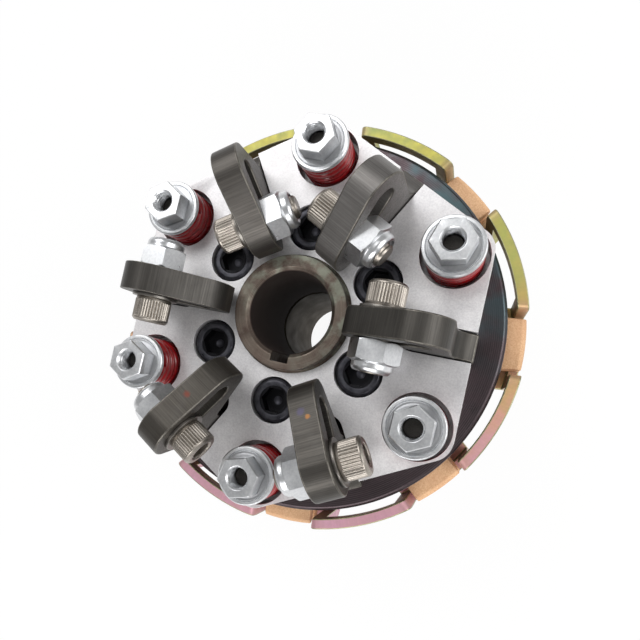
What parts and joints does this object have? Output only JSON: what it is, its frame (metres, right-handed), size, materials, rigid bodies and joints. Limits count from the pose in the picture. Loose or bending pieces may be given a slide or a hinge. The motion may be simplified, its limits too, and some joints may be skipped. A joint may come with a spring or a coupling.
{
  "type": "centrifugal disc clutch",
  "caption": "Dry centrifugal clutch with swinging weighted levers on a six-sided plate, pull-off springs, friction discs, a windowed drum and a rear chain sprocket.",
  "frame": {"origin": "centre of the sprocket sleeve's rear end, on the shaft axis", "axes": "+Z along the shaft axis towards the lever side; +X through the first lever"},
  "size_m": [0.119, 0.119, 0.0906],
  "materials": {
    "hub_steel": "dark oiled steel",
    "carrier_aluminium": "satin, fine speckle",
    "screw_black": "black oxide",
    "pin_steel": "ground",
    "pressure_steel": "turned, dark with a violet sheen",
    "stud_steel": "threaded",
    "nut_zinc": "bright zinc",
    "friction_lining": "tan friction composite",
    "floater_steel": "ground",
    "drum_zinc": "yellow zinc with rainbow tints",
    "sleeve_steel": "dark heat-treated steel",
    "bushing_bronze": "bronze bushing",
    "thrust_steel": "ground",
    "ring_steel": "spring steel",
    "spring_red": "glossy red",
    "lever_steel": "dark blued steel",
    "bolt_steel": "plain steel, knurled head",
    "washer_zinc": "bright zinc",
    "lock_nut_zinc": "bright zinc"
  },
  "bodies": {
    "carrier": {"hub": "hub_steel", "carrier_plate": "carrier_aluminium", "carrier_screws": "screw_black", "lever_pins": "pin_steel", "spring_1": "spring_red", "spring_2": "spring_red", "spring_3": "spring_red", "spring_4": "spring_red", "spring_5": "spring_red", "spring_6": "spring_red"},
    "pressure": {"pressure_plate": "pressure_steel", "spring_studs": "stud_steel", "spring_nuts": "nut_zinc"},
    "floater": {"floater_plate": "floater_steel"},
    "clutch_drum": {"drum": "drum_zinc", "sprocket_sleeve": "sleeve_steel", "drum_bushing": "bushing_bronze", "thrust_washer": "thrust_steel", "retaining_ring": "ring_steel"},
    "front_disc": {"friction_disc_front": "friction_lining"},
    "rear_disc": {"friction_disc_rear": "friction_lining"},
    "arm_1": {"lever_1": "lever_steel", "weight_bolt_1": "bolt_steel", "weight_washer_1": "washer_zinc", "weight_nut_1": "lock_nut_zinc"},
    "arm_2": {"lever_2": "lever_steel", "weight_bolt_2": "bolt_steel", "weight_washer_2": "washer_zinc", "weight_nut_2": "lock_nut_zinc"},
    "arm_3": {"lever_3": "lever_steel", "weight_bolt_3": "bolt_steel", "weight_washer_3": "washer_zinc", "weight_nut_3": "lock_nut_zinc"},
    "arm_4": {"lever_4": "lever_steel", "weight_bolt_4": "bolt_steel", "weight_washer_4": "washer_zinc", "weight_nut_4": "lock_nut_zinc"},
    "arm_5": {"lever_5": "lever_steel", "weight_bolt_5": "bolt_steel", "weight_washer_5": "washer_zinc", "weight_nut_5": "lock_nut_zinc"},
    "arm_6": {"lever_6": "lever_steel", "weight_bolt_6": "bolt_steel", "weight_washer_6": "washer_zinc", "weight_nut_6": "lock_nut_zinc"}
  },
  "joints": [
    {"name": "drum_spin", "type": "hinge", "parent": "carrier", "child": "clutch_drum", "pos_m": [0, 0, 0.0282], "axis": [0, 0, 1], "continuous": true},
    {"name": "pressure_slide", "type": "slide", "parent": "carrier", "child": "pressure", "axis": [0, 0, -1], "range_m": [0, 0.00076], "stiffness_N_per_m": 8000, "springref_m": -0.004, "deforming": ["spring_1", "spring_2", "spring_3", "spring_4", "spring_5", "spring_6"]},
    {"name": "floater_slide", "type": "slide", "parent": "carrier", "child": "floater", "axis": [0, 0, -1], "range_m": [0, 0.00039]},
    {"name": "front_disc_slide", "type": "slide", "parent": "clutch_drum", "child": "front_disc", "axis": [0, 0, -1], "range_m": [0, 0.00058]},
    {"name": "rear_disc_slide", "type": "slide", "parent": "clutch_drum", "child": "rear_disc", "axis": [0, 0, -1], "range_m": [0, 0.0002]},
    {"name": "lever_1_swing", "type": "hinge", "parent": "carrier", "child": "arm_1", "pos_m": [0.041, 0, 0.057], "axis": [0, 1, 0], "range_deg": [0, 13]},
    {"name": "lever_2_swing", "type": "hinge", "parent": "carrier", "child": "arm_2", "pos_m": [0.0205, 0.03551, 0.057], "axis": [-0.866, 0.5, 0], "range_deg": [0, 13]},
    {"name": "lever_3_swing", "type": "hinge", "parent": "carrier", "child": "arm_3", "pos_m": [-0.0205, 0.03551, 0.057], "axis": [-0.866, -0.5, 0], "range_deg": [0, 13]},
    {"name": "lever_4_swing", "type": "hinge", "parent": "carrier", "child": "arm_4", "pos_m": [-0.041, 0, 0.057], "axis": [0, -1, 0], "range_deg": [0, 13]},
    {"name": "lever_5_swing", "type": "hinge", "parent": "carrier", "child": "arm_5", "pos_m": [-0.0205, -0.03551, 0.057], "axis": [0.866, -0.5, 0], "range_deg": [-12, 1]},
    {"name": "lever_6_swing", "type": "hinge", "parent": "carrier", "child": "arm_6", "pos_m": [0.0205, -0.03551, 0.057], "axis": [0.866, 0.5, 0], "range_deg": [-13, 0]}
  ],
  "couplings": [
    {"joint": "floater_slide", "follows": "pressure_slide", "ratio": 0.5},
    {"joint": "front_disc_slide", "follows": "pressure_slide", "ratio": 0.75},
    {"joint": "rear_disc_slide", "follows": "pressure_slide", "ratio": 0.25}
  ]
}
